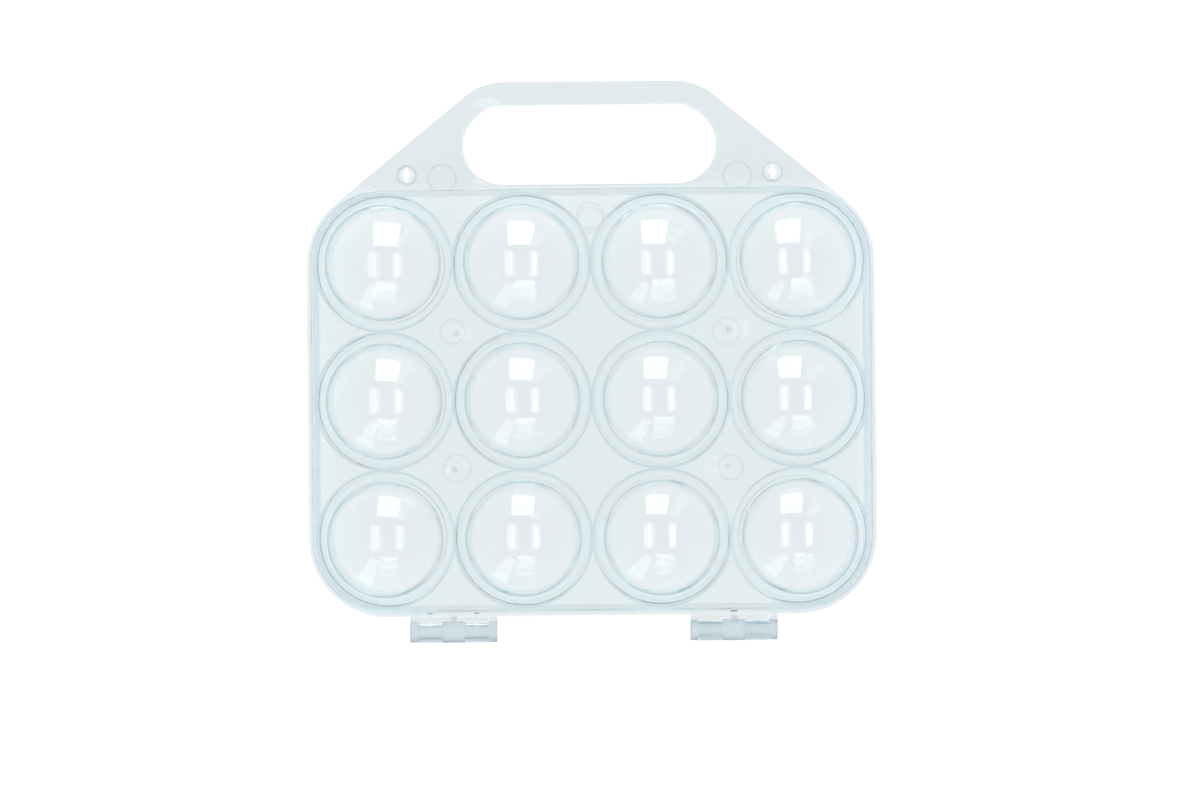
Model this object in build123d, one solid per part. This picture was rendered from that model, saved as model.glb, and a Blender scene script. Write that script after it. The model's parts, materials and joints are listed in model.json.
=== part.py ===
"""Hinged egg carrier: two equal clear mouldings that close round twelve egg cells.

Both halves come from one mould. The second is the first turned half a turn about the
line from the hinges to the handle, so each stud meets a hole and each row of clips
meets a bar. The shell is drawn about the parting plane, then laid on its lower domes.
"""
import os
from math import cos, radians, sin, sqrt, tan

from build123d import *

# Egg cells
columns = 4
rows = 3
cell_pitch = 56.0
neck_width = 1.2
moat_width = 3.2
cell_depth = 34.0
cap_radius = 32.0
shoulder_radius = 12.0
cup_draft_deg = 2.0

# Moulded shell
wall = 1.0
draft_deg = 4.5
plate_height = 17.0
seam_gap = 0.1
rim_margin = 3.0
plate_edge_radius = 1.2

# Flange and handle
flange_lip = 1.2
flange_thickness = 1.6
handle_slope_deg = 39.2
handle_corner_radius = 25.0
grip_width = 9.8
opening_length = 103.6
opening_height = 32.3
opening_edge_radius = 0.8

# Snap fastener: a split stud in one corner and a hole in the other
snap_inset = 9.0
snap_rise = 4.5
stud_radius = 3.6
stud_clearance = 0.3
stud_bore_radius = 1.75
stud_slot_width = 1.4
stud_slot_length = 6.4
stud_tip_chamfer = 0.5
stud_overhang = 1.0

# Gates where the plastic was let in
gate_radius = 3.4
gate_height = 0.4
gate_stub_radius = 1.25
gate_stub_height = 0.8
gate_stub_draft_deg = 45.0

# Hinges
hinge_spacing = 114.8
hinge_drop = 6.5
bar_radius = 2.85
running_clearance = 0.08
knuckle_radius = 4.4
knuckle_width = 9.2
clip_width = 9.2
clip_mouth = 4.4
ear_width = 3.1
ear_radius = 4.2
side_gap = 0.4
swing_gap = 0.35
clip_rib_width = 2.1
post_width = 2.5
rib_height = 6.0
rib_front = 0.8

# Sizes that follow from these
slope = tan(radians(draft_deg))
cup_slope = tan(radians(cup_draft_deg))
half_x = cell_pitch * (columns - 1) / 2
half_y = cell_pitch * (rows - 1) / 2
mouth_radius = (cell_pitch - neck_width) / 2
cup_radius = mouth_radius - moat_width
wall_radius = cell_pitch / 2 + rim_margin
flange_radius = wall_radius + flange_lip
flange_x = half_x + flange_radius
flange_y = half_y + flange_radius
flange_top = seam_gap + flange_thickness
moat_floor = seam_gap + wall
handle_top = flange_y + opening_height + grip_width
hinge_y = -flange_y - hinge_drop
clip_start = knuckle_width / 2 + side_gap
clip_end = clip_start + clip_width
ear_start = clip_end + side_gap
ear_end = ear_start + ear_width
hinge_bottom = hinge_y - max(knuckle_radius, ear_radius)
frame_y = (handle_top + hinge_bottom) / 2


def cup(rim_radius, depth, cap, shoulder):
    """Closed half-egg form: a drafted wall, a rounded shoulder and a shallow cap."""
    cap_centre = depth - cap
    lead = cup_slope * rim_radius + cap_centre
    rest = rim_radius**2 + cap_centre**2 - cap**2
    spread = 1 + cup_slope**2
    corner_z = (lead + sqrt(lead**2 - spread * rest)) / spread
    corner_r = rim_radius - cup_slope * corner_z
    mid_r = corner_r / 2
    mid_z = cap_centre + sqrt(cap**2 - mid_r**2)
    outline = Polyline((0, depth), (0, 0), (rim_radius, 0), (corner_r, corner_z))
    outline += ThreePointArc((corner_r, corner_z), (mid_r, mid_z), (0, depth))
    profile = make_face(outline)
    edge_point = profile.vertices().sort_by_distance((corner_r, corner_z))[0]
    profile = fillet(edge_point, shoulder)
    return revolve(Plane.XZ * profile, Axis.Z)


def parting_cut(form):
    """Trim a form to its side of the parting plane, less the seam gap."""
    reach = 4 * max(flange_x, handle_top)
    other_side = Box(reach, reach, reach, align=(Align.CENTER, Align.CENTER, Align.MAX))
    return form - Pos(0, 0, seam_gap) * other_side


def pockets():
    """Hollows under the plate, between the moat walls and the tray's wall."""
    radius = wall_radius - wall
    plan = RectangleRounded(2 * (half_x + radius), 2 * (half_y + radius), radius)
    inside = extrude(plan, plate_height - wall, taper=draft_deg)
    core_radius = mouth_radius + wall
    core = Cone(core_radius - slope * plate_height, core_radius, plate_height,
                align=(Align.CENTER, Align.CENTER, Align.MIN))
    return inside - [place * core for place in GridLocations(cell_pitch, cell_pitch, columns, rows)]


def tray():
    """Drafted box with a moat and a dome at every cell, hollowed from below."""
    plan = RectangleRounded(2 * (half_x + wall_radius), 2 * (half_y + wall_radius), wall_radius)
    body = extrude(plan, plate_height, taper=draft_deg)
    body = fillet(body.edges().group_by(Axis.Z)[-1], plate_edge_radius)
    moat_height = plate_height - moat_floor
    moat = Pos(0, 0, moat_floor) * Cone(
        mouth_radius - slope * moat_height, mouth_radius, moat_height,
        align=(Align.CENTER, Align.CENTER, Align.MIN))
    dome = cup(cup_radius, cell_depth, cap_radius, shoulder_radius)
    chamber = cup(cup_radius - wall, cell_depth - wall, cap_radius - wall, shoulder_radius - wall)
    cells = GridLocations(cell_pitch, cell_pitch, columns, rows)
    body -= [place * moat for place in cells]
    body += [place * dome for place in cells]
    body -= [place * chamber for place in cells]
    return parting_cut(body - pockets())


def handle_outline():
    """Flange outline with the handle rising from its upper corners on tangent slopes."""
    angle = radians(handle_slope_deg)
    tangent_x = half_x + flange_radius * sin(angle)
    tangent_y = half_y + flange_radius * cos(angle)
    top_x = tangent_x - (handle_top - tangent_y) / tan(angle)
    outline = Polyline(
        (-tangent_x, tangent_y), (-top_x, handle_top), (top_x, handle_top), (tangent_x, tangent_y),
        (tangent_x, 0), (-tangent_x, 0), close=True)
    handle = make_face(outline)
    handle = fillet(handle.vertices().group_by(Axis.Y)[-1], handle_corner_radius)
    return handle + RectangleRounded(2 * flange_x, 2 * flange_y, flange_radius)


def flange():
    """Flat rim and handle plate round the tray, with the hand opening."""
    inner = RectangleRounded(
        2 * (half_x + wall_radius - wall), 2 * (half_y + wall_radius - wall), wall_radius - wall)
    plate = extrude(handle_outline() - inner, flange_thickness)
    hand_hole = extrude(SlotOverall(opening_length, opening_height), flange_thickness)
    hand_hole = Pos(0, flange_y + opening_height / 2) * hand_hole
    plate -= hand_hole
    hole_box = hand_hole.bounding_box()
    rim = plate.edges().filter_by_position(Axis.Z, flange_thickness, flange_thickness)
    rim = rim.filter_by_position(Axis.X, hole_box.min.X, hole_box.max.X)
    rim = rim.filter_by_position(Axis.Y, hole_box.min.Y, hole_box.max.Y)
    return Pos(0, 0, seam_gap) * fillet(rim, opening_edge_radius)


def snap_stud():
    """Split tube that stands on the inner face and goes through the other half's hole."""
    length = flange_thickness + 2 * seam_gap + stud_overhang
    stud = Cylinder(stud_radius, length, align=(Align.CENTER, Align.CENTER, Align.MAX))
    stud = chamfer(stud.edges().group_by(Axis.Z)[0], stud_tip_chamfer)
    return Pos(0, 0, seam_gap) * stud


def snap_bore():
    """Bore and cross slot that let the stud flex, right through plate and stud."""
    depth = 4 * flange_thickness + 2 * stud_overhang
    return Cylinder(stud_bore_radius, depth) + Box(stud_slot_width, stud_slot_length, depth)


def gate():
    """Shallow round swelling on the plate, with the conical stub of the gate on its inner side."""
    ball_radius = (gate_radius**2 + gate_height**2) / (2 * gate_height)
    ball = Pos(0, 0, gate_height - ball_radius) * Sphere(ball_radius)
    swelling = ball & Cylinder(gate_radius, wall)
    tip_radius = gate_stub_radius - gate_stub_height * tan(radians(gate_stub_draft_deg))
    stub = Cone(tip_radius, gate_stub_radius, gate_stub_height, align=(Align.CENTER, Align.CENTER, Align.MAX))
    stub += Cylinder(gate_stub_radius, wall / 2, align=(Align.CENTER, Align.CENTER, Align.MIN))
    return swelling + Pos(0, 0, -wall) * stub


def along_bar(radius, start, end):
    """Round length along the hinge axis between two distances from the hinge's middle."""
    turned = Plane(origin=(start, hinge_y, 0), x_dir=(0, 1, 0), z_dir=(1, 0, 0))
    return extrude(turned * Circle(radius), end - start)


def side_plate(points, start, end):
    """Flat plate across the hinge axis, drawn in Y and Z."""
    turned = Plane(origin=(start, 0, 0), x_dir=(0, 1, 0), z_dir=(1, 0, 0))
    return extrude(turned * make_face(Polyline(*points, close=True)), end - start)


def rib(width, centre):
    """Gusset from the tray's wall to the front of a clip or knuckle."""
    root = -half_y - wall_radius + wall
    tip = hinge_y + knuckle_radius / 2
    front = rib_front * knuckle_radius
    points = [(root, seam_gap), (root, rib_height), (tip, front), (tip + front / 2, seam_gap)]
    return side_plate(points, centre - width / 2, centre + width / 2)


def clip_hinge():
    """Leaf with two open clips, each on its rib, that snap over the other half's bar."""
    leaf_y = hinge_y + knuckle_radius + swing_gap
    seat_y = hinge_y + (bar_radius + knuckle_radius) / 2
    root = -half_y - wall_radius
    leaf = [(root, seam_gap), (root, flange_top), (leaf_y, flange_top), (leaf_y, seam_gap)]
    seat = [(root, seam_gap), (root, flange_top), (seat_y, flange_top), (seat_y, seam_gap)]
    clips = Part() + side_plate(leaf, -clip_end, clip_end)
    for start in (-clip_end, clip_start):
        end = start + clip_width
        middle = (start + end) / 2
        clips += side_plate(seat, start, end)
        clips += along_bar(knuckle_radius, start, end) + rib(clip_rib_width, middle)
    bore = along_bar(bar_radius + running_clearance, -clip_end, clip_end)
    mouth = Pos(0, hinge_y, 0) * Box(
        2 * clip_end, clip_mouth, knuckle_radius, align=(Align.CENTER, Align.CENTER, Align.MAX))
    return clips - bore - mouth


def bar_hinge():
    """Two ears that carry the bar, with a knuckle and post at its middle."""
    root = -half_y - wall_radius + wall
    bar = along_bar(bar_radius, -ear_start, ear_start)
    bar += along_bar(knuckle_radius, -knuckle_width / 2, knuckle_width / 2) + rib(post_width, 0)
    web = [(root, seam_gap), (root, rib_height), (hinge_y, ear_radius), (hinge_y, seam_gap)]
    for start in (-ear_end, ear_start):
        bar += along_bar(ear_radius, start, start + ear_width) + side_plate(web, start, start + ear_width)
    return bar


def half_shell():
    """One moulding, domes up, about the parting plane."""
    snap_x = half_x - snap_inset
    snap_y = flange_y + snap_rise
    gate_x = cell_pitch
    gate_y = cell_pitch / 2
    shell = tray() + flange()
    shell += [Pos(-snap_x, snap_y) * snap_stud(), Pos(-hinge_spacing / 2) * clip_hinge(),
              Pos(hinge_spacing / 2) * bar_hinge()]
    gate_places = ((gate_x, gate_y), (-gate_x, -gate_y))
    shell += [Pos(x, y, plate_height) * gate() for x, y in gate_places]
    shell -= Pos(-snap_x, snap_y) * snap_bore()
    shell -= Pos(snap_x, snap_y) * Cylinder(stud_radius + stud_clearance, 4 * flange_thickness)
    return shell


upper = half_shell()
lower = Rot(0, 180, 0) * upper
to_frame = Pos(0, -frame_y, cell_depth)
os.makedirs("parts", exist_ok=True)
for name, half in (("upper_shell", upper), ("lower_shell", lower)):
    placed = to_frame * half
    placed.label = name
    export_step(placed, f"parts/{name}.step")
    box = placed.bounding_box()
    print(name, len(placed.solids()), "solid", round(placed.volume / 1000, 2), "cm3", box.min, box.max)
print("hinge axis y", hinge_y - frame_y, "z", cell_depth)
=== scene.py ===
# %% [markdown]
# # A clear hinged egg carrier
#
# The carrier is two equal mouldings of clear plastic that close round twelve domed egg cells.
# It lies on its lower domes, empty, and is seen from straight above on white.
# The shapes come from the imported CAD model, so this lesson is about what makes clear plastic
# look real: smooth shading on a coarse mesh, a procedural see-through material, a white floor
# to look through to, and lamps whose mirror images sit on the domes.

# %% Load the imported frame
import json
from math import radians

import bpy
from mathutils import Matrix, Vector


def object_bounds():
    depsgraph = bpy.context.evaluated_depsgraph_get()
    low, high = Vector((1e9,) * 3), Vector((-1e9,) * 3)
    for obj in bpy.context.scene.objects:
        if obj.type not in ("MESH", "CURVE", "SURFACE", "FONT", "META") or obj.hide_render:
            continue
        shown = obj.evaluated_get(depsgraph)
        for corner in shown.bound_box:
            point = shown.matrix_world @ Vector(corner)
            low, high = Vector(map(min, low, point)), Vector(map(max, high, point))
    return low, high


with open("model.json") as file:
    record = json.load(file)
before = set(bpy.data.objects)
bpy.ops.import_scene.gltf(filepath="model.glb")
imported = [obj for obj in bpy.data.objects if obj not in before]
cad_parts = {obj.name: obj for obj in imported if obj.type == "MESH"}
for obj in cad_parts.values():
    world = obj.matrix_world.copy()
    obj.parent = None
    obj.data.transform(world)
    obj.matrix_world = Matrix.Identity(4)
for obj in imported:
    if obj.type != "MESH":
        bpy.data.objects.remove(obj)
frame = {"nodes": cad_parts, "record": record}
cad_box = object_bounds()
scene = bpy.context.scene
shells = {name: frame["nodes"][name] for name in ("upper_shell", "lower_shell")}
print("CAD box", [round(v, 4) for corner in cad_box for v in corner])

# %% [markdown]
# ## Smooth shading on the mouldings
#
# A CAD node arrives as loose triangles, so each facet would show as a flat glint in the plastic.
# The mesh itself has to stay as it is. A Weld modifier joins the corners, which lets the normals
# run smoothly over the domes, and an Edge Split modifier parts them again where two faces
# meet at a real edge, such as the rim of a moat.

# %% Weld and split the two shells
weld_distance = 2e-6
crease_angle = radians(28)


def smooth_moulding(shell):
    """Smooth normals over the curved faces of a moulding, with its real edges kept sharp."""
    for face in shell.data.polygons:
        face.use_smooth = True
    weld = shell.modifiers.new("join_corners", "WELD")
    weld.merge_threshold = weld_distance
    split = shell.modifiers.new("keep_edges", "EDGE_SPLIT")
    split.split_angle = crease_angle
    split.use_edge_sharp = False


for name, shell in shells.items():
    smooth_moulding(shell)
    print(name, len(shell.data.polygons), "triangles")

# %% [markdown]
# ## Helpers for shader nodes
#
# The plastic looks a little different in its moats, on its walls and at its hinges. Each such place
# is a mask: a number from 0 to 1, worked out with Math nodes from Object coordinates, so it stays
# on the part from every side. These helpers keep each mask down to a line or two.

# %% Helpers for numbers
def add_node(tree, kind, **settings):
    """One shader node, with its plain settings given by name."""
    node = tree.nodes.new(kind)
    for key, value in settings.items():
        setattr(node, key, value)
    return node


def calc(tree, operation, *values):
    """Math node on sockets or plain numbers."""
    node = add_node(tree, "ShaderNodeMath", operation=operation)
    for socket, value in zip(node.inputs, values):
        if isinstance(value, float):
            socket.default_value = value
        else:
            tree.links.new(value, socket)
    return node.outputs[0]


def vector_calc(tree, operation, *values):
    """Vector Math node on sockets or plain triples."""
    node = add_node(tree, "ShaderNodeVectorMath", operation=operation)
    for socket, value in zip(node.inputs, values):
        if isinstance(value, tuple):
            socket.default_value = value
        else:
            tree.links.new(value, socket)
    return node.outputs["Value" if operation == "DISTANCE" else "Vector"]


def remap(tree, value, from_min, from_max, to_min=0.0, to_max=1.0):
    """Straight-line change of range, held at both ends."""
    node = add_node(tree, "ShaderNodeMapRange")
    tree.links.new(value, node.inputs["Value"])
    node.inputs["From Min"].default_value = from_min
    node.inputs["From Max"].default_value = from_max
    node.inputs["To Min"].default_value = to_min
    node.inputs["To Max"].default_value = to_max
    return node.outputs["Result"]


def separate(tree, vector):
    """X, Y and Z of a vector."""
    node = add_node(tree, "ShaderNodeSeparateXYZ")
    tree.links.new(vector, node.inputs[0])
    return node.outputs


# %% Helpers for colour, noise and bumps
# A Mix node has a set of sockets for each kind of data, and these are the ones for colours
mix_factor_socket = 0
mix_under_socket = 6
mix_over_socket = 7
mix_result_socket = 2


def lay_over(tree, mask, under, over):
    """Plain colour laid over another colour, a socket or a plain one, where the mask is 1."""
    node = add_node(tree, "ShaderNodeMix", data_type="RGBA")
    tree.links.new(mask, node.inputs[mix_factor_socket])
    node.inputs[mix_over_socket].default_value = over
    if isinstance(under, tuple):
        node.inputs[mix_under_socket].default_value = under
    else:
        tree.links.new(under, node.inputs[mix_under_socket])
    return node.outputs[mix_result_socket]


def noise(tree, place, waves, detail=0.0):
    """Noise over Object coordinates, in waves to the metre."""
    node = add_node(tree, "ShaderNodeTexNoise")
    node.inputs["Scale"].default_value = waves
    node.inputs["Detail"].default_value = detail
    tree.links.new(place, node.inputs["Vector"])
    return node.outputs["Fac"]


def bump(tree, height, strength, distance, under=None):
    """Bump from a height, laid over another bump."""
    node = add_node(tree, "ShaderNodeBump")
    node.inputs["Strength"].default_value = strength
    node.inputs["Distance"].default_value = distance
    tree.links.new(height, node.inputs["Height"])
    if under is not None:
        tree.links.new(under, node.inputs["Normal"])
    return node.outputs["Normal"]


# %% [markdown]
# ## Cells and round marks
#
# The cells stand on a square grid, so the moat round each of them is found from the distance to the
# nearest cell's middle. Single round marks are listed: rings where pins pushed the moulding out of
# its mould, the discs round the snaps and the dots where the plastic ran in. The lower half is the
# upper one turned over, so the same list serves both once X is mirrored.

# %% Cell grid
body_centre_y = -0.0156
cell_pitch = 0.056
columns = 4
rows = 3


def from_nearest_cell(tree, spot):
    """Level distance from the middle of the nearest cell, in metres."""
    last = (columns - 1.0, rows - 1.0, 0.0)
    first_cell = (last[0] / 2, last[1] / 2 - body_centre_y / cell_pitch, 0.0)
    steps = vector_calc(tree, "MULTIPLY_ADD", spot, (1 / cell_pitch, 1 / cell_pitch, 0.0), first_cell)
    nearest = vector_calc(tree, "FLOOR", vector_calc(tree, "ADD", steps, (0.5, 0.5, 0.5)))
    nearest = vector_calc(tree, "MAXIMUM", nearest, (0.0, 0.0, 0.0))
    nearest = vector_calc(tree, "MINIMUM", nearest, last)
    return calc(tree, "MULTIPLY", vector_calc(tree, "DISTANCE", steps, nearest), cell_pitch)


print("cells in each half", columns * rows)

# %% Round marks
snap_x = 0.075
snap_y = 0.0927
snap_disc_radius = 0.0036
snap_rim_radius = 0.0038
gate_dot_radius = 0.0012
line_half_width = 0.0003

# Each mark is X and Y from the middle of the tray, then the middle radius and half width of its ring
pin_marks = (
    (-0.0606, 0.0912, 0.0057, line_half_width),
    (0.0606, 0.0912, 0.0057, line_half_width),
    (0.0, 0.0745, 0.0054, line_half_width),
    (-cell_pitch, cell_pitch / 2, 0.0050, line_half_width),
    (cell_pitch, -cell_pitch / 2, 0.0050, line_half_width),
)
dull_marks = (
    (-snap_x, snap_y, snap_disc_radius / 2, snap_disc_radius / 2),
    (snap_x, snap_y, snap_disc_radius / 2, snap_disc_radius / 2),
    (cell_pitch, cell_pitch / 2, gate_dot_radius / 2, gate_dot_radius / 2),
    (-cell_pitch, -cell_pitch / 2, gate_dot_radius / 2, gate_dot_radius / 2),
)
snap_rims = (
    (-snap_x, snap_y, snap_rim_radius, line_half_width),
    (snap_x, snap_y, snap_rim_radius, line_half_width),
)


def on_marks(tree, spot, marks):
    """1 on the marks and 0 elsewhere."""
    result = None
    for x, y, middle, half_width in marks:
        reach = vector_calc(tree, "DISTANCE", spot, (x, y + body_centre_y, 0.0))
        mark = calc(tree, "COMPARE", reach, middle, half_width)
        result = mark if result is None else calc(tree, "MAXIMUM", result, mark)
    return result


print("round marks", len(pin_marks) + len(dull_marks) + len(snap_rims))

# %% [markdown]
# ## Masks for the places
#
# Each place of the moulding is found by where it lies. A dome and its moat go by the distance from
# the cell, a wall by how steep its face is, and handle and hinges by Y. The hinge parts are measured
# from the hinge's axis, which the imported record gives.

# %% Find the places
level_slope = 0.45
steep_slope = 0.15
dome_reach = 0.0205
moat_middle = 0.0258
moat_half_width = 0.0022
outer_wall_reach = 0.0285
handle_start_y = 0.0700
handle_full_y = 0.0740
hinge_y = frame["record"]["behaviour"]["joints"][0]["pos_m"][1]
leaf_y = hinge_y + 0.0063
barrel_y = hinge_y + 0.0047
lip_y = hinge_y - 0.0021
hinge_fade = 0.0006


def find_places(tree, where, spot):
    """Masks of the places on one half, by name."""
    level = separate(tree, spot)
    slope = calc(tree, "ABSOLUTE", separate(tree, where["Normal"])["Z"])
    from_cell = from_nearest_cell(tree, spot)
    places = {
        "dome": calc(tree, "LESS_THAN", from_cell, dome_reach),
        "moat": calc(tree, "COMPARE", from_cell, moat_middle, moat_half_width),
        "wall": remap(tree, slope, level_slope, steep_slope),
        "handle": remap(tree, level["Y"], handle_start_y, handle_full_y),
        "leaf": remap(tree, level["Y"], leaf_y, leaf_y - hinge_fade),
        "barrel": remap(tree, level["Y"], barrel_y, barrel_y - hinge_fade),
        "lip": remap(tree, level["Y"], lip_y, lip_y - hinge_fade),
        "pin_marks": on_marks(tree, spot, pin_marks),
        "dull_marks": on_marks(tree, spot, dull_marks),
        "snap_rims": on_marks(tree, spot, snap_rims),
    }
    past_cells = calc(tree, "GREATER_THAN", from_cell, outer_wall_reach)
    bar_side = calc(tree, "GREATER_THAN", level["X"], 0.0)
    places["outer_wall"] = calc(tree, "MULTIPLY", places["wall"], past_cells)
    places["bar"] = calc(tree, "MULTIPLY", places["barrel"], bar_side)
    return places


print("hinge axis at Y", hinge_y)

# %% [markdown]
# ## Clear plastic
#
# Clear polypropylene bends light, mirrors a little of it at each face and tints what passes a faint
# blue-grey. Its refractive index is near 1.49, but a real wall is slightly milky, which softens
# the dark lines that steep clear walls show. A perfectly clear wall has no such help, so the index
# is lowered until the walls look as soft as the real ones.
#
# Most of the tint lies on the skin, in Base Color, and changes from place to place: the floor of
# the moat, the steep walls, the outer wall, the snaps and the solid hinge bars each get their own.
# On the moat floor, the steep walls, the outer wall, the snap rims and the hinge pieces this tint is
# painted light and shade, which makes them darker or lighter as light passing at other angles does.
# Volume Absorption adds the deeper blue of long ways through the plastic.
#
# A real moulding is never quite even: the skin has a fine orange peel, the wall swims a little, and
# handling leaves it duller in places. Noise drives the roughness and two small bumps for that. The
# rings of the pins are too faint to need a mesh, so a shade of tint draws them.

# %% Tint of the skin, with painted light and shade
skin_tint = (0.912, 0.947, 0.957, 1.0)
# Painted shade for steep faces seen edge-on, laid on the outer wall and the snap rims
steep_edge_painted_shade = (0.68, 0.785, 0.82, 1.0)

# Later places lie over earlier ones
tints_and_painted_light = (
    ("dome", (0.921, 0.947, 0.956, 1.0)),
    ("handle", (0.881, 0.913, 0.924, 1.0)),
    ("pin_marks", (0.80, 0.85, 0.868, 1.0)),
    # Painted shade: the floor of each moat is tinted darker, for the darker look of a deep narrow
    # groove
    ("moat", (0.90, 0.945, 0.958, 1.0)),
    # Painted light: steep faces are tinted lighter, which softens the dark lines that steep clear
    # walls show
    ("wall", (0.94, 0.968, 0.978, 1.0)),
    # Painted shade: the outer wall takes a deeper teal, for the darker look of a steep wall seen
    # edge-on
    ("outer_wall", steep_edge_painted_shade),
    ("dull_marks", (0.82, 0.875, 0.895, 1.0)),
    # Painted shade on the steep rims round the snaps, as on the outer wall
    ("snap_rims", steep_edge_painted_shade),
    # Painted light and shade at the hinge: darker leaves, lighter barrels, a dark lip and darker bars
    # stand in for how light passes the solid hinge pieces
    ("leaf", (0.78, 0.83, 0.85, 1.0)),
    ("barrel", (0.98, 1.0, 1.0, 1.0)),
    ("lip", (0.58, 0.68, 0.73, 1.0)),
    ("bar", (0.72, 0.81, 0.845, 1.0)),
)


def skin_colour_and_painted_light(tree, places):
    """Tint of the skin, changed from place to place, with painted light and shade on some places."""
    tint = skin_tint
    for name, colour in tints_and_painted_light:
        tint = lay_over(tree, places[name], tint, colour)
    return tint


print("tinted places", len(tints_and_painted_light))

# %% Dull patches, peel and swim
polished = 0.0
handled = 0.08
dull_waves = 70.0
dull_detail = 2.0
dull_from = 0.52
dull_full = 0.75
place_frosts = (("barrel", 0.18), ("bar", 0.42), ("dull_marks", 0.20))
swim_waves = 55.0
swim_strength = 0.02
swim_height = 0.0004
peel_waves = 1100.0
peel_strength = 0.05
peel_height = 0.00005


def skin_roughness(tree, place, places):
    """Polished skin with patches dulled by handling, and frost where the moulding is matt."""
    patches = noise(tree, place, dull_waves, dull_detail)
    rough = remap(tree, patches, dull_from, dull_full, polished, handled)
    for name, frost in place_frosts:
        rough = calc(tree, "MULTIPLY_ADD", places[name], frost, rough)
    return rough


def skin_relief(tree, place):
    """Slow swim of the wall with a fine orange peel on it."""
    swim = bump(tree, noise(tree, place, swim_waves), swim_strength, swim_height)
    return bump(tree, noise(tree, place, peel_waves), peel_strength, peel_height, swim)


print("frosted places", len(place_frosts))

# %% Make the material of each half
plastic_index = 1.33
depth_colour = (0.30, 0.56, 0.60, 1.0)
depth_density = 11.0


def clear_plastic(name, turned):
    """Procedural clear plastic for one half; turned is -1.0 where the half lies mirrored in X."""
    material = bpy.data.materials.new(name)
    material.use_nodes = True
    tree = material.node_tree
    where = add_node(tree, "ShaderNodeTexCoord").outputs
    place = where["Object"]
    spot = vector_calc(tree, "MULTIPLY", place, (turned, 1.0, 0.0))
    places = find_places(tree, where, spot)

    shader = tree.nodes["Principled BSDF"]
    shader.inputs["IOR"].default_value = plastic_index
    shader.inputs["Transmission Weight"].default_value = 1.0
    tree.links.new(skin_colour_and_painted_light(tree, places), shader.inputs["Base Color"])
    tree.links.new(skin_roughness(tree, place, places), shader.inputs["Roughness"])
    tree.links.new(skin_relief(tree, place), shader.inputs["Normal"])

    depth = add_node(tree, "ShaderNodeVolumeAbsorption")
    depth.inputs["Color"].default_value = depth_colour
    depth.inputs["Density"].default_value = depth_density
    tree.links.new(depth.outputs["Volume"], tree.nodes["Material Output"].inputs["Volume"])
    return material


for name, turned in (("upper_shell", 1.0), ("lower_shell", -1.0)):
    mesh = shells[name].data
    mesh.materials.clear()
    mesh.materials.append(clear_plastic(f"clear_plastic_{name}", turned))
print("material nodes", len(shells["upper_shell"].active_material.node_tree.nodes))

# %% [markdown]
# ## White floor
#
# The plastic is clear, so most of what it shows is the floor behind it. The floor gives a steady
# white to camera, mirror and see-through rays, and keeps a share of plain lit diffuse so that
# the carrier still lays a soft shadow on it. For every other ray it is ordinary matt white.

# %% Floor
floor_white = 0.86
floor_share = 0.90
floor_glow = 1.05
floor_side = 8.0
floor_drop = 0.0002
bpy.ops.object.select_all(action="DESELECT")
bpy.ops.mesh.primitive_plane_add(size=floor_side, location=(0.0, 0.0, cad_box[0][2] - floor_drop))
floor = bpy.context.object
floor.name = "floor"
paper = bpy.data.materials.new("white_paper")
paper.use_nodes = True
tree = paper.node_tree
tree.nodes.remove(tree.nodes["Principled BSDF"])
matt = add_node(tree, "ShaderNodeBsdfDiffuse")
matt.inputs["Color"].default_value = (floor_white, floor_white, floor_white, 1.0)
glow = add_node(tree, "ShaderNodeEmission")
glow.inputs["Strength"].default_value = floor_glow
ray = add_node(tree, "ShaderNodeLightPath").outputs
seen = calc(tree, "MAXIMUM", ray["Is Camera Ray"], ray["Is Transmission Ray"])
seen = calc(tree, "MAXIMUM", seen, ray["Is Glossy Ray"])
mix = add_node(tree, "ShaderNodeMixShader")
tree.links.new(calc(tree, "MULTIPLY", seen, floor_share), mix.inputs["Fac"])
tree.links.new(matt.outputs[0], mix.inputs[1])
tree.links.new(glow.outputs[0], mix.inputs[2])
tree.links.new(mix.outputs[0], tree.nodes["Material Output"].inputs["Surface"])
floor.data.materials.append(paper)
print("floor at", round(floor.location.z, 4))

# %% [markdown]
# ## Surroundings and lamps
#
# Clear plastic is lit by what it mirrors. The room is white near the floor, which keeps the steep
# walls light, and darker overhead, where the camera hangs, so the flat plates mirror little and
# stay a calm grey. Two long strip lamps hang left and right of the camera: each dome shows them as
# a pair of short bars. A panel behind the handle gives the patch high on each dome and a window at
# the lower left the slanted patch below. All of them stay out of the part of the room that the
# flat plates mirror.

# %% World
room_tint = (0.97, 0.99, 1.0)

# Each stop is a height, from level (0) to straight up (1), and the light there
room_light = ((0.0, 0.95), (0.35, 0.90), (0.72, 0.70), (0.97, 0.50))
world = bpy.data.worlds.new("studio")
scene.world = world
world.use_nodes = True
tree = world.node_tree
ramp = add_node(tree, "ShaderNodeValToRGB")
stops = ramp.color_ramp.elements
while len(stops) < len(room_light):
    stops.new(1.0)
for stop, (height, light) in zip(stops, room_light):
    stop.position = height
    stop.color = (*[light * share for share in room_tint], 1.0)
upward = separate(tree, add_node(tree, "ShaderNodeTexCoord").outputs["Generated"])["Z"]
tree.links.new(upward, ramp.inputs["Fac"])
tree.links.new(ramp.outputs["Color"], tree.nodes["Background"].inputs["Color"])
print("room stops", len(stops))

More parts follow.
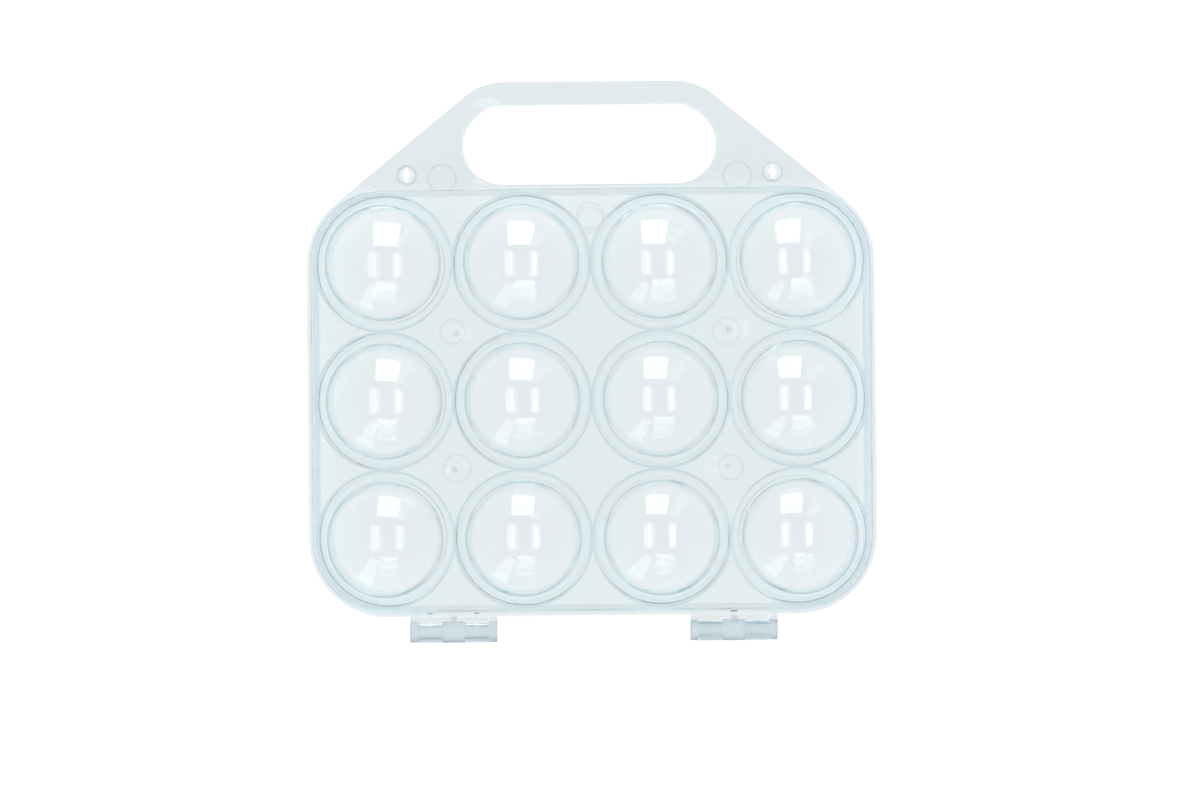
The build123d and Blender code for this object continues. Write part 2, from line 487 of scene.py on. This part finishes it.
# %% Lamps
tray_middle = (0.0, body_centre_y, 0.05)
strip_height = 1.33
strip_length = 0.9
window_height = 0.66


def panel(name, place, width, length, power, aim=tray_middle):
    """Rectangular lamp that faces a point, with its length kept in line with the Y axis."""
    data = bpy.data.lights.new(name, "AREA")
    data.shape = "RECTANGLE"
    data.size = width
    data.size_y = length
    data.energy = power
    lamp = bpy.data.objects.new(name, data)
    scene.collection.objects.link(lamp)
    back = (Vector(place) - Vector(aim)).normalized()
    side = Vector((0.0, 1.0, 0.0)).cross(back).normalized()
    turn = Matrix((side, back.cross(side), back)).transposed()
    lamp.matrix_world = Matrix.Translation(place) @ turn.to_4x4()
    print(name, power, "W")


panel("strip_left", (-0.47, 0.0, strip_height), width=0.27, length=strip_length, power=2.4)
panel("strip_right", (0.36, 0.0, strip_height), width=0.24, length=strip_length, power=1.4)
panel("panel_behind", (-0.037, 0.40, 0.42), width=0.32, length=0.36, power=1.8)
window_aim = (0.0, 0.0, window_height)
panel("window", (-0.41, -0.69, window_height), width=1.0, length=0.26, power=1.7, aim=window_aim)

# %% [markdown]
# ## Camera
#
# The photograph looks straight down from about 1.3 m with a long lens, so the rear half shows a little
# smaller through the front one. The long light paths in clear walls need more bounces than
# usual: with too few, the walls turn black where a ray is cut short. The denoiser goes by colour
# alone, because its other guides look past each wall to the next one and keep their grain.

# %% Camera and bounces
sensor_width = 36.0
lens_length = 98.76
camera_place = (0.0034, -0.0158, 1.384)
camera_roll = radians(-0.53)
light_bounces = 28
camera_data = bpy.data.cameras.new("camera")
camera_data.sensor_width = sensor_width
camera_data.lens = lens_length
camera = bpy.data.objects.new("camera", camera_data)
camera.location = camera_place
camera.rotation_euler = (0.0, 0.0, camera_roll)
scene.collection.objects.link(camera)
scene.camera = camera
scene.view_settings.view_transform = "Standard"
scene.cycles.max_bounces = light_bounces
scene.cycles.transmission_bounces = light_bounces
scene.cycles.glossy_bounces = light_bounces
scene.cycles.denoising_input_passes = "RGB"
print("camera height", round(camera.location.z, 4))
